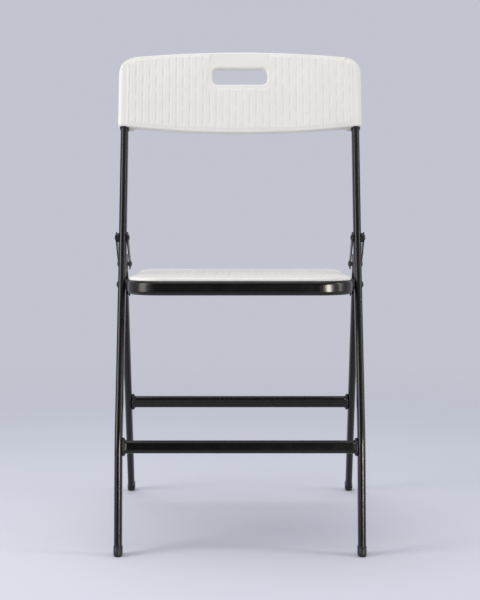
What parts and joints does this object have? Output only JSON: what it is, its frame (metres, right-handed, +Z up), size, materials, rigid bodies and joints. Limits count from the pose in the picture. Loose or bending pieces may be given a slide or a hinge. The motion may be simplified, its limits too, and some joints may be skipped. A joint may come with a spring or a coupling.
{
  "type": "folding chair",
  "caption": "Folding chair: bent flat-oval steel tube frame, moulded plastic seat and backrest with a hand slot, seat and rear legs fold flat together.",
  "frame": {"origin": "on the floor, under the middle of the unfolded chair's bounding box", "axes": "+Z up, the sitter faces -Y, +X to the sitter's left"},
  "size_m": [0.4586, 0.5614, 0.8538],
  "materials": {
    "white_plastic": "satin, moulded basket-weave relief",
    "black_painted_steel": "semi-gloss powder coat",
    "black_steel_fixings": "semi-gloss",
    "black_plastic": "fine satin"
  },
  "bodies": {
    "front_frame": {"left_front_leg": "black_painted_steel", "right_front_leg": "black_painted_steel", "front_cross_rail": "black_painted_steel", "backrest_panel": "white_plastic", "backrest_rivets": "black_steel_fixings", "left_backrest_grommet": "black_plastic", "right_backrest_grommet": "black_plastic", "left_front_foot_cap": "black_plastic", "right_front_foot_cap": "black_plastic", "left_seat_pivot_rivet": "black_steel_fixings", "right_seat_pivot_rivet": "black_steel_fixings", "left_seat_pivot_spacer": "black_plastic", "right_seat_pivot_spacer": "black_plastic"},
    "seat": {"seat_panel": "white_plastic", "seat_frame": "black_painted_steel", "seat_middle_bar": "black_painted_steel", "seat_rear_bar": "black_painted_steel", "seat_screws": "black_steel_fixings", "left_rear_pivot_bracket": "black_painted_steel", "right_rear_pivot_bracket": "black_painted_steel", "left_rear_pivot_rivet": "black_steel_fixings", "right_rear_pivot_rivet": "black_steel_fixings", "left_seat_frame_plug": "black_plastic", "right_seat_frame_plug": "black_plastic"},
    "rear_frame": {"left_rear_leg": "black_painted_steel", "right_rear_leg": "black_painted_steel", "rear_cross_rail": "black_painted_steel", "left_rear_foot_cap": "black_plastic", "right_rear_foot_cap": "black_plastic", "left_rear_leg_plug": "black_plastic", "right_rear_leg_plug": "black_plastic"},
    "left_link": {"left_outer_link": "black_painted_steel", "left_inner_link": "black_painted_steel", "left_link_front_rivet": "black_steel_fixings", "left_link_rear_rivet": "black_steel_fixings", "left_link_spacer": "black_plastic"},
    "right_link": {"right_outer_link": "black_painted_steel", "right_inner_link": "black_painted_steel", "right_link_front_rivet": "black_steel_fixings", "right_link_rear_rivet": "black_steel_fixings", "right_link_spacer": "black_plastic"}
  },
  "joints": [
    {"name": "seat_fold", "type": "hinge", "parent": "front_frame", "child": "seat", "pos_m": [0, -0.15341, 0.446], "axis": [1, 0, 0], "range_deg": [0, 61.67]},
    {"name": "rear_leg_fold", "type": "hinge", "parent": "seat", "child": "rear_frame", "pos_m": [0, -0.0516, 0.439], "axis": [1, 0, 0], "range_deg": [-114.83, 0]},
    {"name": "left_link_turn", "type": "hinge", "parent": "front_frame", "child": "left_link", "pos_m": [0, -0.12869, 0.52573], "axis": [1, 0, 0], "range_deg": [0, 94.15]},
    {"name": "right_link_turn", "type": "hinge", "parent": "front_frame", "child": "right_link", "pos_m": [0, -0.12869, 0.52573], "axis": [1, 0, 0], "range_deg": [0, 94.15]}
  ],
  "couplings": [
    {"joint": "rear_leg_fold", "follows": "seat_fold", "ratio": -1.8618},
    {"joint": "left_link_turn", "follows": "seat_fold", "ratio": 1.5265},
    {"joint": "right_link_turn", "follows": "seat_fold", "ratio": 1.5265}
  ]
}
